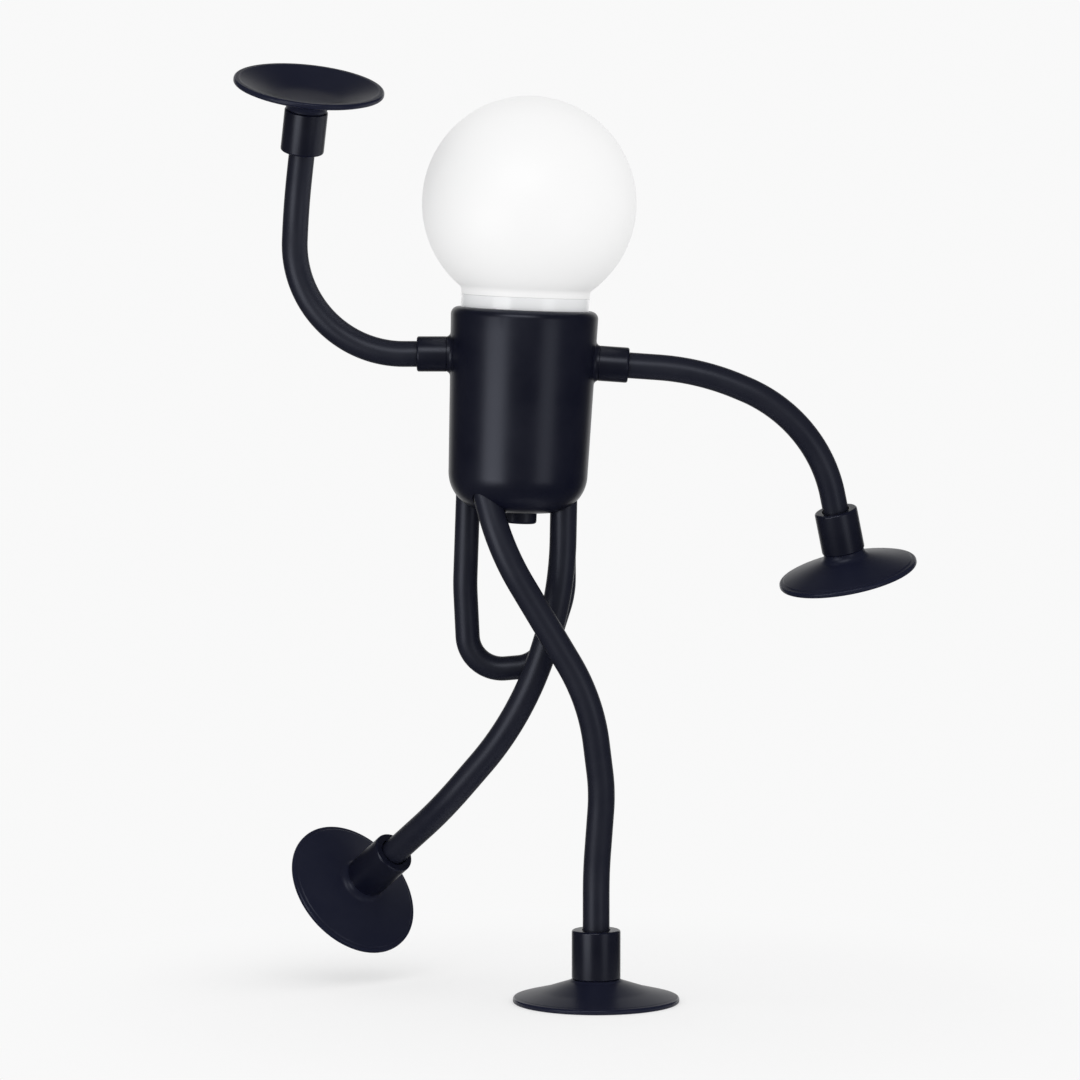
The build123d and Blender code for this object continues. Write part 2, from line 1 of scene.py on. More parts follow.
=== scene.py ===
import bpy
import numpy as np
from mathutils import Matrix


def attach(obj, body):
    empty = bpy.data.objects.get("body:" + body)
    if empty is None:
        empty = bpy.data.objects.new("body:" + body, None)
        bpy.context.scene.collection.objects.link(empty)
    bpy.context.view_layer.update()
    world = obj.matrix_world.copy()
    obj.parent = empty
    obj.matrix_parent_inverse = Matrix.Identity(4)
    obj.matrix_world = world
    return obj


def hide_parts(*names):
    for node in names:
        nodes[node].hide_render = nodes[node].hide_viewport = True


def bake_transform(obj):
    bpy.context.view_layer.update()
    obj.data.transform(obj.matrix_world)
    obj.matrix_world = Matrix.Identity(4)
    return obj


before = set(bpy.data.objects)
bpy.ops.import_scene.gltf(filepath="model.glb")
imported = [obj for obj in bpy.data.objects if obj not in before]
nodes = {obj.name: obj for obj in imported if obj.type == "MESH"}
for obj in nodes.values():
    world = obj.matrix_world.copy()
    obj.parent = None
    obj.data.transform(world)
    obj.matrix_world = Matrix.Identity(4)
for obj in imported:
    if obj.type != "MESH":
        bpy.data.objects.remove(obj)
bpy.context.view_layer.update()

# Camera: a long lens in front of the lamp, a little above its middle and tilted down.
# The lamp's standing foot is the origin, so the camera is placed from there.
camera_place = (-0.02507, -2.19211, 0.36684)
camera_tilt_down = np.radians(4.175)
camera_data = bpy.data.cameras.new("camera")
camera_data.lens = 165.0
camera_data.sensor_width = 36.0
camera = bpy.data.objects.new("camera", camera_data)
camera.location = camera_place
camera.rotation_euler = (np.pi / 2 - camera_tilt_down, 0, 0)
bpy.context.scene.collection.objects.link(camera)
bpy.context.scene.camera = camera
bpy.context.scene.view_settings.view_transform = "Standard"

# Studio: a white sweep stands behind the lamp and a dim room in front of it. Two softboxes
# draw the upright streaks on the dark parts and a third one draws their tops, while an even
# fill lights what is matte. Mirror rays see the dim room, which keeps the satin blacks deep.
studio_white = 0.945
fill_level = 1.03
room_level = 0.05
room_fade = (0.70, 0.98)
table_radius = 0.30
table_colour = 0.9
table_lit_level = 0.92
table_drop = 5e-5
shadow_share = 0.55
shadow_fade = (0.16, 0.28)
mirror_loss = 0.25
mirror_fade = (0.03, 0.12)


def new_material(name):
    """An empty node material: returns it with its node tree and its output node."""
    material = bpy.data.materials.new(name)
    material.use_nodes = True
    tree = material.node_tree
    tree.nodes.clear()
    return material, tree, tree.nodes.new("ShaderNodeOutputMaterial")


def add(tree, kind, **settings):
    """A new node of a kind, with plain settings and with values for its named inputs."""
    node = tree.nodes.new(kind)
    for key, value in settings.items():
        if key in node.inputs.keys():
            node.inputs[key].default_value = value
        else:
            setattr(node, key, value)
    return node


def feed(tree, sockets, terms):
    """Give each socket its term: another node's output is linked, a plain value is set."""
    for socket, term in zip(sockets, terms):
        if isinstance(term, bpy.types.NodeSocket):
            tree.links.new(term, socket)
        else:
            socket.default_value = term


def maths(tree, operation, *terms):
    """The result of a math operation on its terms."""
    node = add(tree, "ShaderNodeMath", operation=operation)
    feed(tree, node.inputs, terms)
    return node.outputs[0]


def ramp(tree, value, start, end, low=0.0, high=1.0, smooth=False):
    """A value that runs from start to end, turned into one that runs from low to high."""
    kind = "SMOOTHSTEP" if smooth else "LINEAR"
    node = add(tree, "ShaderNodeMapRange", interpolation_type=kind)
    labels = ("Value", "From Min", "From Max", "To Min", "To Max")
    feed(tree, [node.inputs[label] for label in labels], (value, start, end, low, high))
    return node.outputs["Result"]


def mixed(tree, share, first, second):
    """The first value where the share is 0, and the second where it is 1."""
    node = add(tree, "ShaderNodeMix", data_type="FLOAT")
    feed(tree, (node.inputs[0], node.inputs[2], node.inputs[3]), (share, first, second))
    return node.outputs[0]


world = bpy.data.worlds.new("studio")
bpy.context.scene.world = world
world.cycles.sampling_method = "NONE"
world.use_nodes = True
sky = world.node_tree
sky.nodes.clear()
paths = add(sky, "ShaderNodeLightPath").outputs
facing = add(sky, "ShaderNodeSeparateXYZ")
sky.links.new(add(sky, "ShaderNodeTexCoord").outputs["Generated"], facing.inputs[0])
room = ramp(sky, facing.outputs["Y"], *room_fade, room_level, studio_white, smooth=True)
lit = mixed(sky, paths["Is Glossy Ray"], fill_level, room)
straight = maths(sky, "MAXIMUM", paths["Is Camera Ray"], paths["Is Transmission Ray"])
backdrop = add(sky, "ShaderNodeBackground", Color=(1, 1, 1, 1))
sky.links.new(mixed(sky, straight, lit, studio_white), backdrop.inputs["Strength"])
sky.links.new(backdrop.outputs[0], add(sky, "ShaderNodeOutputWorld").inputs["Surface"])

# The table keeps the lamp's shadow close to it and turns into the plain sweep further away.
# It is matte to the lamp, and mirror rays see less and less of it away from the foot.
table_mesh = bpy.data.meshes.new("table")
around = np.linspace(0, 2 * np.pi, 96, endpoint=False)
table_edge = table_radius * np.stack([np.cos(around), np.sin(around), 0 * around], -1)
table_mesh.from_pydata(table_edge.tolist(), [], [list(range(len(table_edge)))])
table = bpy.data.objects.new("table", table_mesh)
table.location.z = -table_drop
bpy.context.scene.collection.objects.link(table)
table_white, tree, out = new_material("table_white")
paths = add(tree, "ShaderNodeLightPath").outputs
away = add(tree, "ShaderNodeVectorMath", operation="LENGTH")
tree.links.new(add(tree, "ShaderNodeTexCoord").outputs["Object"], away.inputs[0])
shadowed = ramp(tree, away.outputs["Value"], *shadow_fade, shadow_share, 0.0, smooth=True)
grey = add(tree, "ShaderNodeCombineColor")
feed(tree, grey.inputs, [maths(tree, "MULTIPLY", shadowed, table_colour)] * 3)
shaded = add(tree, "ShaderNodeBsdfDiffuse")
glow = add(tree, "ShaderNodeEmission", Color=(1, 1, 1, 1))
feed(tree, (shaded.inputs["Color"], glow.inputs["Strength"]),
     (grey.outputs[0], maths(tree, "MULTIPLY_ADD", shadowed, -table_lit_level, studio_white)))
sweep = add(tree, "ShaderNodeAddShader")
feed(tree, sweep.inputs, (shaded.outputs[0], glow.outputs[0]))
matte = add(tree, "ShaderNodeBsdfDiffuse", Color=(table_colour, table_colour, table_colour, 1))
straight = maths(tree, "MAXIMUM", paths["Is Camera Ray"], paths["Is Transmission Ray"])
by_ray = add(tree, "ShaderNodeMixShader")
feed(tree, by_ray.inputs, (straight, matte.outputs[0], sweep.outputs[0]))
unseen = ramp(tree, away.outputs["Value"], *mirror_fade, mirror_loss, 1.0, smooth=True)
clear = add(tree, "ShaderNodeBsdfTransparent")
whole = add(tree, "ShaderNodeMixShader")
see_through = maths(tree, "MULTIPLY", unseen, paths["Is Glossy Ray"])
feed(tree, whole.inputs, (see_through, by_ray.outputs[0], clear.outputs[0]))
tree.links.new(whole.outputs[0], out.inputs["Surface"])
table_mesh.materials.append(table_white)

softboxes = {
    # name: (angle from the camera in degrees, elevation, distance, width, height, watts);
    # they are seen in glossy surfaces alone
    "left_softbox": (-43, -7, 1.1, 0.68, 0.48, 4.0),
    "right_softbox": (42, -7, 1.1, 0.46, 0.48, 1.1),
    "top_softbox": (-10, 34, 1.2, 1.00, 0.42, 5.5),
}
lamp_middle = np.array([-0.02, 0.0, 0.21])
for name, (turn, rise, distance, width, height, watts) in softboxes.items():
    turn, rise = np.radians((turn, rise))
    towards = np.array([np.sin(turn) * np.cos(rise), -np.cos(turn) * np.cos(rise), np.sin(rise)])
    light = bpy.data.lights.new(name, "AREA")
    light.shape = "RECTANGLE"
    light.size, light.size_y, light.energy = width, height, watts
    box = bpy.data.objects.new(name, light)
    box.location = lamp_middle + towards * distance
    box.rotation_euler = (np.pi / 2 - rise, 0, turn)
    box.visible_diffuse = False
    bpy.context.scene.collection.objects.link(box)

# Body shell: a deep-drawn metal cup with a rounded bottom and a rolled rim, powder-coated in
# a satin blue-black. It has two side bosses for the arms, and holes in its bottom for the
# legs, the loop and the button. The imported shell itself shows, welded and smoothed.


def node_group(name, inputs, outputs):
    """A shader node group with float or vector inputs given as (name, value), float outputs."""
    group = bpy.data.node_groups.new(name, "ShaderNodeTree")
    for label, value in inputs:
        kind = "NodeSocketVector" if label == "Vector" else "NodeSocketFloat"
        socket = group.interface.new_socket(label, in_out="INPUT", socket_type=kind)
        if value is not None:
            socket.default_value = value
    for label in outputs:
        group.interface.new_socket(label, in_out="OUTPUT", socket_type="NodeSocketFloat")
    return group, group.nodes.new("NodeGroupInput"), group.nodes.new("NodeGroupOutput")


# Fine grain: two layers of noise, for the orange peel of a coat or the pores of rubber
grain_inputs = [("Vector", None), ("Scale", 900.0)]
grain, grain_in, grain_out = node_group("fine_grain", grain_inputs, ["Height", "Mottle"])
fine = add(grain, "ShaderNodeTexNoise", Detail=2.0, Roughness=0.6)
broad = add(grain, "ShaderNodeTexNoise", Detail=3.0, Roughness=0.55)
broad_scale = maths(grain, "MULTIPLY", grain_in.outputs["Scale"], 0.06)
layers = ((fine, grain_in.outputs["Scale"], "Height"), (broad, broad_scale, "Mottle"))
for noise, scale, result in layers:
    feed(grain, (noise.inputs["Vector"], noise.inputs["Scale"]), (grain_in.outputs["Vector"], scale))
    grain.links.new(noise.outputs["Fac"], grain_out.inputs[result])

# Edge wear and painted highlight: where the piece says it has an edge, broken up by noise, the colour
# lightens as rubbed wear and as a painted highlight on rims and lips
wear_and_highlight_inputs = [("Vector", None), ("Edge", 0.0), ("Amount", 0.5)]
wear_and_highlight, wear_and_highlight_in, wear_and_highlight_out = node_group("wear_and_highlight_edges", wear_and_highlight_inputs, ["Mask"])
patches = add(wear_and_highlight, "ShaderNodeTexNoise", Scale=160.0, Detail=4.0)
wear_and_highlight.links.new(wear_and_highlight_in.outputs["Vector"], patches.inputs["Vector"])
worn_and_highlit = maths(wear_and_highlight, "MULTIPLY", ramp(wear_and_highlight, patches.outputs["Fac"], 0.35, 0.7), wear_and_highlight_in.outputs["Edge"])
wear_and_highlight.links.new(maths(wear_and_highlight, "MULTIPLY", worn_and_highlit, wear_and_highlight_in.outputs["Amount"]), wear_and_highlight_out.inputs["Mask"])


def surface_material(name, colour, lighter, rough, rough_spread, scale, depth, edge_wear_and_highlight=0.0,
                     edge_polish=0.0, **principled):
    """A solid finish: colour mottled towards a lighter one, roughness that varies by its spread,
    grain with a scale per metre and a depth in metres, and polished edges whose lighter colour is rubbed
    wear and a painted highlight."""
    material, tree, out = new_material(name)
    place = add(tree, "ShaderNodeTexCoord").outputs["Object"]
    texture = add(tree, "ShaderNodeGroup", node_tree=grain, Scale=scale)
    edges = add(tree, "ShaderNodeGroup", node_tree=wear_and_highlight, Amount=edge_wear_and_highlight)
    marked = add(tree, "ShaderNodeAttribute", attribute_name="edge").outputs["Fac"]
    feed(tree, (texture.inputs["Vector"], edges.inputs["Vector"], edges.inputs["Edge"]),
         (place, place, marked))
    mottle = ramp(tree, texture.outputs["Mottle"], 0.3, 0.7, 0.0, 0.35)
    tint = add(tree, "ShaderNodeMix", data_type="RGBA")
    lightened = maths(tree, "MAXIMUM", mottle, edges.outputs["Mask"])
    feed(tree, (tint.inputs[0], tint.inputs[6], tint.inputs[7]), (lightened, (*colour, 1), (*lighter, 1)))
    uneven = ramp(tree, texture.outputs["Mottle"], 0, 1, rough - rough_spread, rough + rough_spread)
    roughness = maths(tree, "MULTIPLY_ADD", marked, -edge_polish, uneven)
    bump = add(tree, "ShaderNodeBump", Strength=1.0, Distance=depth)
    tree.links.new(texture.outputs["Height"], bump.inputs["Height"])
    shader = add(tree, "ShaderNodeBsdfPrincipled", **principled)
    feed(tree, (shader.inputs["Base Color"], shader.inputs["Roughness"], shader.inputs["Normal"]),
         (tint.outputs[2], roughness, bump.outputs["Normal"]))
    tree.links.new(shader.outputs[0], out.inputs["Surface"])
    return material


def dress(node_name, material, crease=32):
    """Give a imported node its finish, weld its loose triangles and smooth all but its creases."""
    node = nodes[node_name]
    node.data.materials.clear()
    node.data.materials.append(material)
    node.data.shade_smooth()
    weld = node.modifiers.new("weld", "WELD")
    weld.merge_threshold = 1e-5
    split = node.modifiers.new("creases", "EDGE_SPLIT")
    split.split_angle = np.radians(crease)


blue_black = (0.0038, 0.0046, 0.0140)
# The lighter black is random mottle, and on edges it is rubbed wear and a painted highlight.
wear_and_highlight_black = (0.014, 0.015, 0.026)
cool_gloss = (0.84, 0.88, 1.0, 1)
coat = surface_material(
    "satin_coat", blue_black, wear_and_highlight_black, rough=0.33, rough_spread=0.04, scale=900.0, depth=6e-6,
    edge_wear_and_highlight=0.35, edge_polish=0.12, **{"Specular IOR Level": 0.33, "Specular Tint": cool_gloss})
dress("body_shell", coat)

# Hip block, studs and block screws: a moulded block closes the bottom of the body, and the
# legs' metal studs stand in it. Two countersunk screws hold it from below.
# Its lighter edges are rubbed wear and a painted highlight.
moulded = surface_material(
    "moulded_black", (0.0090, 0.0103, 0.0210), (0.020, 0.021, 0.033), rough=0.40, rough_spread=0.06,
    scale=700.0, depth=8e-6, edge_wear_and_highlight=0.2, edge_polish=0.12,
    **{"Specular IOR Level": 0.3, "Specular Tint": cool_gloss})
bare_steel = surface_material(
    "bare_steel", (0.52, 0.53, 0.55), (0.66, 0.67, 0.69), rough=0.32, rough_spread=0.06,
    scale=1500.0, depth=2e-6, Metallic=1.0)
bare_alloy = surface_material(
    "bare_alloy", (0.62, 0.63, 0.65), (0.74, 0.75, 0.77), rough=0.36, rough_spread=0.06,
    scale=1500.0, depth=2e-6, Metallic=1.0)
dress("hip_block", moulded)
dress("standing_hip_stud", bare_steel)
dress("lifted_hip_stud", bare_alloy)
dress("block_screws", bare_steel)

# Switch and lampholder on an alloy plate with two pillars, joined by insulated leads.
# They are hidden in the body, under the bulb.
yellow_brass = surface_material(
    "yellow_brass", (0.70, 0.50, 0.22), (0.82, 0.62, 0.32), rough=0.28, rough_spread=0.07,
    scale=1200.0, depth=3e-6, Metallic=1.0)
holder_white = surface_material(
    "holder_moulding", (0.62, 0.60, 0.55), (0.72, 0.70, 0.66), rough=0.55, rough_spread=0.05,
    scale=500.0, depth=1e-5)
lead_red = surface_material(
    "lead_insulation", (0.30, 0.03, 0.02), (0.42, 0.06, 0.05), rough=0.42, rough_spread=0.05,
    scale=900.0, depth=4e-6)
for hidden_node in ("push_switch", "power_inlet"):
    dress(hidden_node, moulded)
for hidden_node in ("holder_plate", "plate_pillars"):
    dress(hidden_node, bare_alloy)
for hidden_node in ("plate_screws", "inlet_nut", "shoulder_nuts"):
    dress(hidden_node, bare_steel)
for hidden_node in ("holder_screw_shell", "holder_contact"):
    dress(hidden_node, yellow_brass)
dress("lamp_holder", holder_white)
dress("internal_leads", lead_red)

# Push button: a moulded round button in the body's underside, with a rounded face edge. It
# slides up into its hole, is held by a flange inside, and works the switch above it.
body_origin = np.array([-0.03555, 0.004, 0.2194])
body_lean = np.radians(2.4)
body_axis = np.array([np.sin(body_lean), 0.0, np.cos(body_lean)])
body_side = np.array([np.cos(body_lean), 0.0, -np.sin(body_lean)])
button_offset = 2e-3
button_radius = 7.1e-3
button_face = -5.3e-3
button_edge = 1.2e-3
flange_radius = 8.4e-3
flange_seat = 1.8e-3
flange_top = 3.0e-3
plunger_radius = 2e-3
plunger_top = 9e-3


def on_body(x, y, height):
    """A place given in the leaning body's own directions, from the middle of its underside."""
    return body_origin + x * body_side + np.array([0.0, y, 0.0]) + height * body_axis


def rounded(points, radii, fine_angle=np.radians(6)):
    """Runs joined by arcs: at each inner point the corner gives way to the circle of its
    radius that touches both runs, walked in equal small angles. Returns the points and, for
    each one inside an arc, one over its radius, negative where the line turns to its right."""
    points = np.asarray(points, float)
    line, bends = [points[:1]], [np.zeros(1)]
    for before, corner, after, radius in zip(points, points[1:], points[2:], radii):
        back = (before - corner) / np.linalg.norm(before - corner)
        on = (after - corner) / np.linalg.norm(after - corner)
        half = np.arccos(np.clip(back @ on, -1, 1)) / 2
        turn = np.pi - 2 * half
        if radius == 0 or turn < 1e-4:
            line.append(corner[None])
            bends.append(np.zeros(1))
            continue
        centre = corner + (back + on) / np.linalg.norm(back + on) * radius / np.sin(half)
        first = corner + back * radius / np.tan(half) - centre
        last = corner + on * radius / np.tan(half) - centre
        share = np.linspace(0, 1, max(3, int(np.ceil(turn / fine_angle)) + 1))[:, None]
        arc = (np.sin((1 - share) * turn) * first + np.sin(share * turn) * last) / np.sin(turn)
        line.append(centre + arc)
        side = np.sign(back[0] * on[1] - back[1] * on[0]) or 1.0
        bend = np.full(len(arc), side / radius)
        bend[[0, -1]] = 0
        bends.append(bend)
    line.append(points[-1:])
    bends.append(np.zeros(1))
    return np.vstack(line), np.concatenate(bends)


def side_and_across(along):
    """Two unit vectors square to each direction: side lies level with the picture's depth."""
    side = np.cross(along, (0.0, 1.0, 0.0))
    side /= np.linalg.norm(side, axis=-1, keepdims=True)
    return side, np.cross(along, side)


def solid_sum(points, faces, corners):
    """Six times the signed volume under the triangles that three columns of the faces make."""
    first, second, third = (points[faces[:, corner]] for corner in corners)
    return np.einsum("ij,ij->i", first, np.cross(second, third)).sum()


sharp_angle = np.radians(40)


def closed_mesh(name, rings, poles, edge):
    """Quads between neighbouring rings, and a fan from each end ring to its pole; without
    poles the last ring joins the first. Turned so that its volume is positive."""
    rows, columns = rings.shape[:2]
    index = np.arange(rows * columns).reshape(rows, columns)
    index = index if poles is not None else np.vstack([index, index[:1]])
    right = np.roll(index, -1, axis=1)
    quads = np.stack([index[:-1], right[:-1], right[1:], index[1:]], -1).reshape(-1, 4)
    points = rings.reshape(-1, 3)
    marks = np.repeat(edge, columns)
    volume = solid_sum(points, quads, (0, 1, 2)) + solid_sum(points, quads, (0, 2, 3))
    faces = quads.tolist()
    if poles is not None:
        first = np.full(columns, len(points))
        fans = np.vstack([np.stack([first, right[0], index[0]], -1),
                          np.stack([first + 1, index[-1], right[-1]], -1)])
        points = np.vstack([points, poles])
        marks = np.concatenate([marks, [0, 0]])
        volume += solid_sum(points, fans, (0, 1, 2))
        faces += fans.tolist()
    if volume < 0:
        faces = [face[::-1] for face in faces]
    mesh = bpy.data.meshes.new(name)
    mesh.from_pydata(points.tolist(), [], faces)
    mesh.attributes.new("edge", "FLOAT", "POINT").data.foreach_set("value", marks.astype(np.float32))
    mesh.shade_smooth()
    mesh.set_sharp_from_angle(angle=sharp_angle)
    piece = bpy.data.objects.new(name, mesh)
    bpy.context.scene.collection.objects.link(piece)
    return piece


full_edge_bend = 900.0


def turned(name, origin, axis, outline, radii, columns=160):
    """A surface of revolution: each outline point (r, h), with its corners rounded, goes to
    origin + h * axis + r * (cos a * side + sin a * across) for a round the full circle. An
    outer bend of full_edge_bend (one over metres) or sharper is a full edge, others are less."""
    profile, bends = rounded(outline, radii)
    has_poles = outline[0][0] == 0 and outline[-1][0] == 0
    inner = slice(1, -1) if has_poles else slice(0, len(profile) - 1)
    side, across = side_and_across(np.asarray(axis, float))
    angles = np.linspace(0, 2 * np.pi, columns, endpoint=False)[:, None]
    circle = np.cos(angles) * side + np.sin(angles) * across
    radius, height = profile[inner].T
    rings = origin + height[:, None, None] * axis + radius[:, None, None] * circle
    poles = origin + np.outer(profile[[0, -1], 1], axis) if has_poles else None
    area = np.sum(profile[:-1, 0] * profile[1:, 1] - profile[1:, 0] * profile[:-1, 1])
    edge = np.clip(bends[inner] * -np.sign(area) / full_edge_bend, 0, 1)
    return closed_mesh(name, rings, poles, edge)


def fit(piece, body, slot, material, *replaced):
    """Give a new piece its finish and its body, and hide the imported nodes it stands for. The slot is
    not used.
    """
    piece.data.materials.append(material)
    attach(piece, body)
    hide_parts(*replaced)


button_outline = [
    (0, button_face),
    (button_radius, button_face),
    (button_radius, flange_seat),
    (flange_radius, flange_seat),
    (flange_radius, flange_top),
    (plunger_radius, flange_top),
    (plunger_radius, plunger_top),
    (0, plunger_top),
]
button_place = on_body(button_offset, 0, 0)
button_roundings = [button_edge, 0, 2e-4, 2e-4, 0, 2e-4]
button = turned("button", button_place, body_axis, button_outline, button_roundings, columns=128)
fit(button, "button", "black_plastic", moulded, "push_button")

# Shoulder fittings: turned metal collars, coated like the body, screwed into its side bosses.
# Each has a rounded outer end and a thin gap round the arm's hose.
for side_name in ("left", "right"):
    dress(f"{side_name}_shoulder_fitting", coat)

# Limb hoses: soft-touch rubber hose over the jointed core, bent to the pose. Each limb's hose
# is drawn in three spans that meet inside a straight link.
hose_black = surface_material(
    "hose_rubber", (0.0085, 0.0098, 0.0215), (0.018, 0.019, 0.031), rough=0.41, rough_spread=0.05,
    scale=1100.0, depth=5e-6, **{"Specular IOR Level": 0.35, "Specular Tint": cool_gloss})
hose_grip = 9.5e-3
joint_reach = 17e-3
ring_spacing = 1.2e-3
route_fine_angle = np.radians(1)
arm_radius = 5.75e-3
leg_radius = 6e-3
body_height = 90e-3
body_top_radius = 32.8e-3
body_foot_radius = 30.5e-3
left_shoulder_drop = 21.4e-3
right_shoulder_drop = 22.7e-3
shoulder_reach = 14.8e-3
right_droop = np.radians(4.0)
hip_height = 3.25e-3


def millimetres(*values):
    """Values or places in millimetres, turned into metres."""
    return np.array(values) * 1e-3


def arm_mouth(shoulder_drop, way):
    """Where an arm's hose leaves its shoulder fitting, which stands on the body's sloping wall."""
    height = body_height - shoulder_drop
    wall = body_foot_radius + (body_top_radius - body_foot_radius) * height / body_height
    return on_body(np.sign(way[0]) * wall, 0, height) + shoulder_reach * way


def hose_route(mouth, bends):
    """From a grip's length behind the mouth where the hose comes out, by the bends, to a
    grip's length past the last of them, which is the mouth of the end collar."""
    places = np.vstack([mouth, bends])
    for end, inner in ((0, 1), (-1, -2)):
        way = places[end] - places[inner]
        places[end] += way / np.linalg.norm(way) * hose_grip
    return places


left_mouth = arm_mouth(left_shoulder_drop, np.array([-1.0, 0, 0]))
right_mouth = arm_mouth(right_shoulder_drop, np.array([np.cos(right_droop), 0, -np.sin(right_droop)]))
lifted_mouth = on_body(20.9e-3, -1e-3, hip_height)
standing_mouth = on_body(-12e-3, -18.4e-3, hip_height)
left_bends = left_mouth + millimetres((-56.2, 0, 0), (-53.3, 0, 65.3), (-50.3, -6.9, 89.5))
right_bends = right_mouth + millimetres((31.5, 0, -2.2), (84, 0, -24), (92.6, 8.2, -64.9))
lifted_bends = lifted_mouth + millimetres((-0.7, 0, -37), (-17.2, 3, -92.5), (-54.7, 23.5, -138.4),
                                          (-77, 46, -161.2))
standing_bends = millimetres((-42.2, -17.5, 203.5), (-2.5, -12, 136.4), (2.6, -5, 95), (0, 0, 58),
                             (0, 0, 32.4))
arm = dict(joints=("shoulder", "elbow", "wrist"), bodies=("upper_arm", "forearm", "hand"),
           radius=arm_radius)
leg = dict(joints=("hip", "knee", "ankle"), bodies=("thigh", "shin", "foot"), radius=leg_radius)
limbs = {
    "left": dict(arm, route=hose_route(left_mouth, left_bends), radii=millimetres(48.2, 95)),
    "right": dict(arm, route=hose_route(right_mouth, right_bends), radii=millimetres(112, 66)),
    "lifted": dict(leg, route=hose_route(lifted_mouth, lifted_bends), radii=millimetres(160, 135, 104)),
    "standing": dict(leg, route=hose_route(standing_mouth, standing_bends),
                     radii=millimetres(100, 92, 92, 120)),
}


def centreline(route, radii, spacing):
    """The rounded route at even steps: returns distances, places and directions."""
    line, _ = rounded(route, radii, route_fine_angle)
    runs = np.linalg.norm(np.diff(line, axis=0), axis=1)
    walked = np.concatenate([[0], np.cumsum(runs)])
    distance = np.linspace(0, walked[-1], int(np.ceil(walked[-1] / spacing)) + 1)
    places = np.stack([np.interp(distance, walked, line[:, axis]) for axis in range(3)], -1)
    along = np.gradient(places, distance, axis=0)
    return distance, places, along / np.linalg.norm(along, axis=1, keepdims=True)


def hose_span(name, places, along, radius, columns=72):
    """A circle of the hose's radius carried square to its centreline, closed at both ends."""
    side, across = side_and_across(along)
    angles = np.linspace(0, 2 * np.pi, columns, endpoint=False)[None, :, None]
    circle = np.cos(angles) * side[:, None] + np.sin(angles) * across[:, None]
    rings = places[:, None] + radius * circle
    return closed_mesh(name, rings, places[[0, -1]], np.zeros(len(places)))


for limb_name, limb in limbs.items():
    distance, places, along = centreline(limb["route"], limb["radii"], ring_spacing)
    length = distance[-1]
    at = np.array([hose_grip + joint_reach, length / 2, length - hose_grip - joint_reach])
    cuts = [0, (at[0] + at[1]) / 2, (at[1] + at[2]) / 2, length]
    first, second, third = limb["joints"]
    upper, lower, _ = limb["bodies"]
    covered = ([f"{limb_name}_{first}_hose"], [f"{limb_name}_{upper}_hose", f"{limb_name}_{lower}_hose"],
               [f"{limb_name}_{third}_hose"])
    for k, joint in enumerate(limb["joints"]):
        inside = (distance >= cuts[k] - ring_spacing / 3) & (distance <= cuts[k + 1] + ring_spacing / 3)
        walk = np.unique(np.concatenate([distance[inside], cuts[k:k + 2]]).clip(cuts[k], cuts[k + 1]))
        span_places = np.stack([np.interp(walk, distance, places[:, axis]) for axis in range(3)], -1)
        span_along = np.stack([np.interp(walk, distance, along[:, axis]) for axis in range(3)], -1)
        span = hose_span(f"{limb_name}_{joint}_hose_span", span_places, span_along, limb["radius"])
        span.data.materials.append(hose_black)
        way = np.array([np.interp(at[k], distance, along[:, axis]) for axis in range(3)])
        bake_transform(span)
        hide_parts(*covered[k])
    for part in limb["bodies"][:2]:
        dress(f"{limb_name}_{part}_link", bare_steel if limb_name == "standing" else bare_alloy)

# Hanging loop: a thinner hose that leaves the body's underside, hangs behind the legs and
# comes back up. Both ends are pushed into the hip block.
loop_radius = 5.45e-3
loop_left = (-21.9e-3, 9e-3)
loop_right = (20.4e-3, 13.4e-3)
loop_inside = hip_height + hose_grip
loop_bends = millimetres((-1.3, 3, -38), (0.5, 7, -77.4), (32.6, 7, -74.6), (42.9, 5, -41.4))
loop_route = [
    on_body(*loop_left, loop_inside),
    *(on_body(*loop_left, hip_height) + loop_bends),
    on_body(*loop_right, loop_inside),
]
loop_radii = millimetres(96, 15.5, 14.8, 43)
_, loop_places, loop_along = centreline(loop_route, loop_radii, ring_spacing)
loop = hose_span("loop_hose", loop_places, loop_along, loop_radius)
fit(loop, "torso", "hose_rubber", hose_black, "hanging_loop")

# End collars: a turned metal sleeve on each limb's end, coated like the body. The hose goes
# into one end with a thin gap, and the suction cup's plug into the other.
collars = {
    # limb: (node, outer radius, length)
    "left": ("hand_collar", 9.6e-3, 19e-3),
    "right": ("hand_collar", 9.6e-3, 19e-3),
    "lifted": ("foot_collar", 9.8e-3, 23.5e-3),
    "standing": ("foot_collar", 10.9e-3, 22e-3),
}
hose_gap = 0.4e-3
hose_end_gap = 0.3e-3
plug_hole = 6.2e-3
plug_length = 6.8e-3
collar_roundings = [0, 4e-4, 9e-4, 6e-4, 3e-4, 0]
mouths = {}
for limb_name, (node_name, collar_radius, collar_length) in collars.items():
    limb = limbs[limb_name]
    end, before = limb["route"][[-1, -2]]
    way = (end - before) / np.linalg.norm(end - before)
    mouth = end - way * hose_grip
    mouths[limb_name] = (mouth, way, collar_radius, collar_length)
    bore = limb["radius"] + hose_gap
    web = hose_grip + hose_end_gap
    recess = collar_length - plug_length
    outline = [
        (0, web),
        (bore, web),
        (bore, 0),
        (collar_radius, 0),
        (collar_radius, collar_length),
        (plug_hole, collar_length),
        (plug_hole, recess),
        (0, recess),
    ]
    collar = turned(f"{limb_name}_end_collar", mouth, way, outline, collar_roundings)
    last_body = f"{limb_name}_{limb['bodies'][2]}"
    fit(collar, last_body, "fitting_coat", coat, f"{limb_name}_{node_name}")
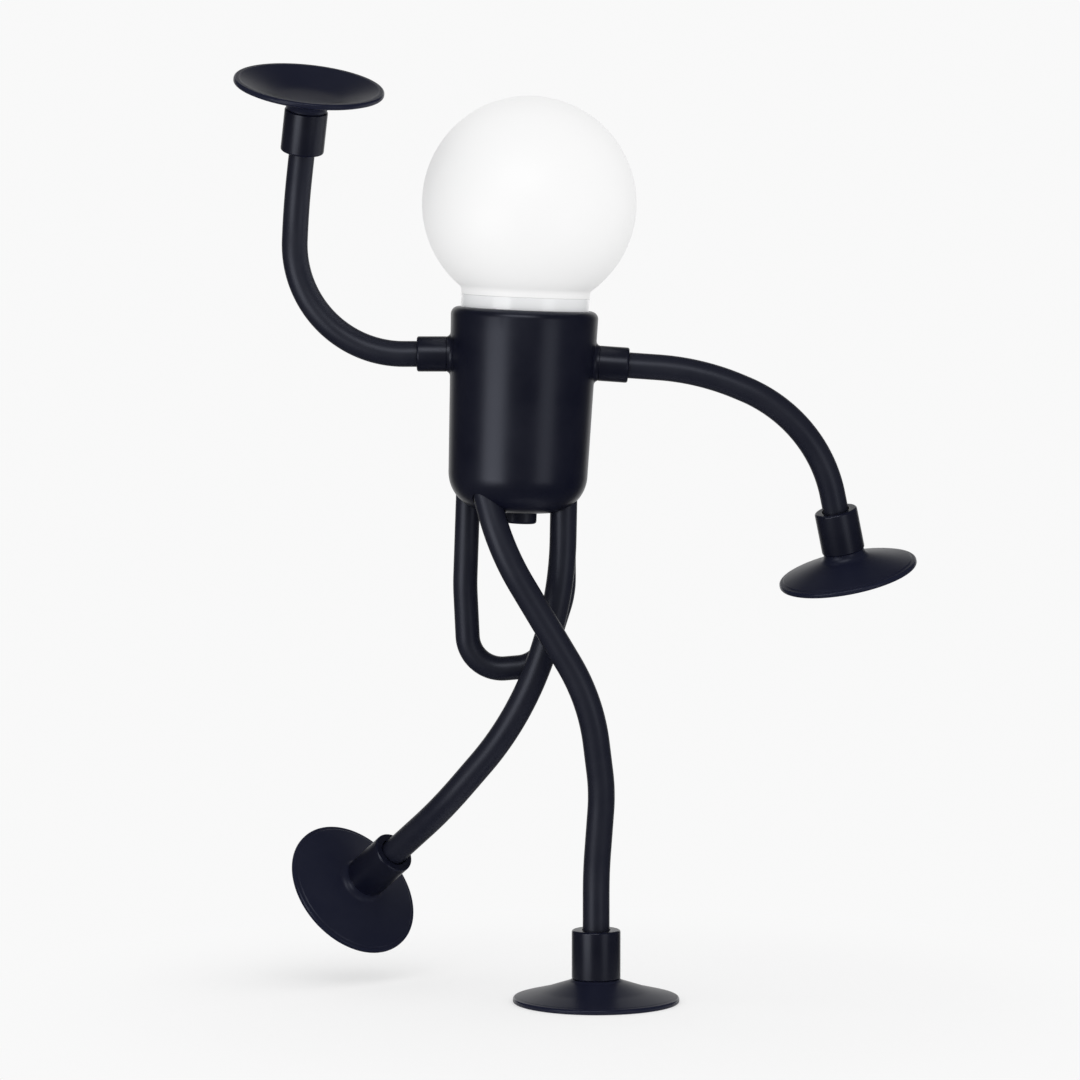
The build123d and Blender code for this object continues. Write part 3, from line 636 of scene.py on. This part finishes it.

# Suction cups: moulded rubber. A narrow neck flares into a cone that ends in a thick rounded
# lip with a fine step above it, and the working face is a shallow smooth dish.
# On the lip, the lighter edge colour paints a highlight as well as wear.
cup_black = surface_material(
    "cup_rubber", (0.0090, 0.0106, 0.0255), (0.019, 0.021, 0.037), rough=0.37, rough_spread=0.05,
    scale=800.0, depth=7e-6, edge_wear_and_highlight=0.25, edge_polish=0.15,
    **{"Specular IOR Level": 0.19, "Specular Tint": cool_gloss})
free_cups = {
    # limb: (node, outer radius of the lip)
    "left": ("hand_cup", 33.3e-3),
    "right": ("hand_cup", 31.2e-3),
    "lifted": ("foot_cup", 33.1e-3),
}
plug_radius = 6e-3
plug_depth = 6.6e-3
neck_seat = 0.1e-3
neck_inset = 0.5e-3
neck_length = 3e-3
cup_depth = 12e-3
lip = 2.6e-3
lip_step = 0.4e-3
step_inset = 1.7e-3
cone_inset = 2.2e-3
face_width = 2.4e-3
dish_radius = 13e-3
dish_floor = 6.2e-3
for limb_name, (node_name, cup_radius) in free_cups.items():
    mouth, way, neck, start = mouths[limb_name]
    rim = start + cup_depth
    outline = [
        (0, start - plug_depth),
        (plug_radius, start - plug_depth),
        (plug_radius, start + neck_seat),
        (neck - neck_inset, start + neck_seat),
        (neck - neck_inset, start + neck_length),
        (cup_radius - cone_inset, rim - lip - 0.35e-3),
        (cup_radius - step_inset, rim - lip + 0.05e-3),
        (cup_radius, rim - lip + lip_step),
        (cup_radius, rim),
        (cup_radius - face_width, rim),
        (dish_radius, start + dish_floor),
        (0, start + dish_floor),
    ]
    radii = [3e-4, 0, 2e-4, 3.6e-3, 4e-4, 3e-4, 9e-4, 9e-4, 1.2e-3, 20e-3]
    cup = turned(f"{limb_name}_suction_cup", mouth, way, outline, radii, columns=224)
    last_body = f"{limb_name}_{limbs[limb_name]['bodies'][2]}"
    fit(cup, last_body, "cup_rubber", cup_black, f"{limb_name}_{node_name}")

# Standing cup: the same moulding pressed flat on the table, so its cone is lower and wider.
# A steel disc sits in its underside and keeps the lamp on its one foot.
mouth, way, neck, start = mouths["standing"]
standing_radius = 37.2e-3
standing_depth = 10.4e-3
cone_radius = 24.6e-3
cone_height = 5.2e-3
disc_recess = 0.6e-3
disc_radius = 30.2e-3
disc_edge = 1.8e-3
disc_middle_radius = 12.2e-3
disc_middle = 7.4e-3
rim = start + standing_depth
disc_face = rim - disc_recess
outline = [
    (0, start - plug_depth),
    (plug_radius, start - plug_depth),
    (plug_radius, start + neck_seat),
    (neck - 0.1e-3, start + neck_seat),
    (neck + 1e-3, start + 1e-3),
    (cone_radius, rim - cone_height),
    (standing_radius - cone_inset, rim - lip),
    (standing_radius - step_inset, rim - lip + 0.2e-3),
    (standing_radius, rim - lip + 0.6e-3),
    (standing_radius, rim),
    (disc_radius, rim),
    (disc_radius, disc_face - disc_edge),
    (disc_middle_radius, disc_face - disc_middle),
    (0, disc_face - disc_middle),
]
radii = [3e-4, 0, 2e-4, 3e-3, 40e-3, 5e-4, 3e-4, 9e-4, 4e-4, 3e-4, 0, 0]
cup = turned("standing_suction_cup", mouth, way, outline, radii, columns=224)
fit(cup, "standing_foot", "cup_rubber", cup_black, "standing_foot_cup")
dress("standing_foot_weight", bare_steel)

# Bulb: an opal globe glued to a glossy white housing with a brass screw cap below. It lifts
# out of the body along the body's axis.
opal = surface_material(
    "opal_globe", (0.94, 0.94, 0.94), (0.96, 0.96, 0.96), rough=0.46, rough_spread=0.04,
    scale=300.0, depth=1e-6, **{"Specular IOR Level": 0.28})
gloss_white = surface_material(
    "gloss_white", (0.86, 0.87, 0.88), (0.90, 0.90, 0.91), rough=0.14, rough_spread=0.03,
    scale=400.0, depth=1e-6, **{"Specular IOR Level": 0.5})
globe_radius = 47.5e-3
globe_height = 136.6e-3
globe_wall = 1.1e-3
neck_radius = 28.5e-3
neck_fillet = 3e-3
seam = 95.5e-3
drop = np.sqrt((globe_radius + neck_fillet) ** 2 - (neck_radius + neck_fillet) ** 2)
low = np.arctan2(-drop, neck_radius + neck_fillet)
turn = np.linspace(np.pi / 2, low, 90)
outer = np.stack([globe_radius * np.cos(turn), globe_height + globe_radius * np.sin(turn)], -1)
turn = np.linspace(low + np.pi, np.pi, 10)
waist = np.stack([neck_radius + neck_fillet + neck_fillet * np.cos(turn),
                  globe_height - drop + neck_fillet * np.sin(turn)], -1)
inner_radius = globe_radius - globe_wall
inner_drop = np.sqrt(inner_radius ** 2 - (neck_radius - globe_wall) ** 2)
turn = np.linspace(np.arctan2(-inner_drop, neck_radius - globe_wall), np.pi / 2, 60)
inner_side = np.stack([inner_radius * np.cos(turn), globe_height + inner_radius * np.sin(turn)], -1)
neck_end = [(neck_radius, seam), (neck_radius - globe_wall, seam)]
outline = np.vstack([outer, waist[1:], neck_end, inner_side])
outline[[0, -1], 0] = 0
radii = np.zeros(len(outline) - 2)
radii[len(outer) + len(waist) - 2] = 4e-4
radii[len(outer) + len(waist) - 1] = 3e-4
globe = turned("opal_globe", body_origin, body_axis, outline.tolist(), radii, columns=224)
fit(globe, "bulb", "opal_globe", opal, "bulb_globe")
dress("bulb_housing", gloss_white)
dress("light_board", holder_white)
dress("bulb_cap", yellow_brass)
dress("bulb_contact", yellow_brass)
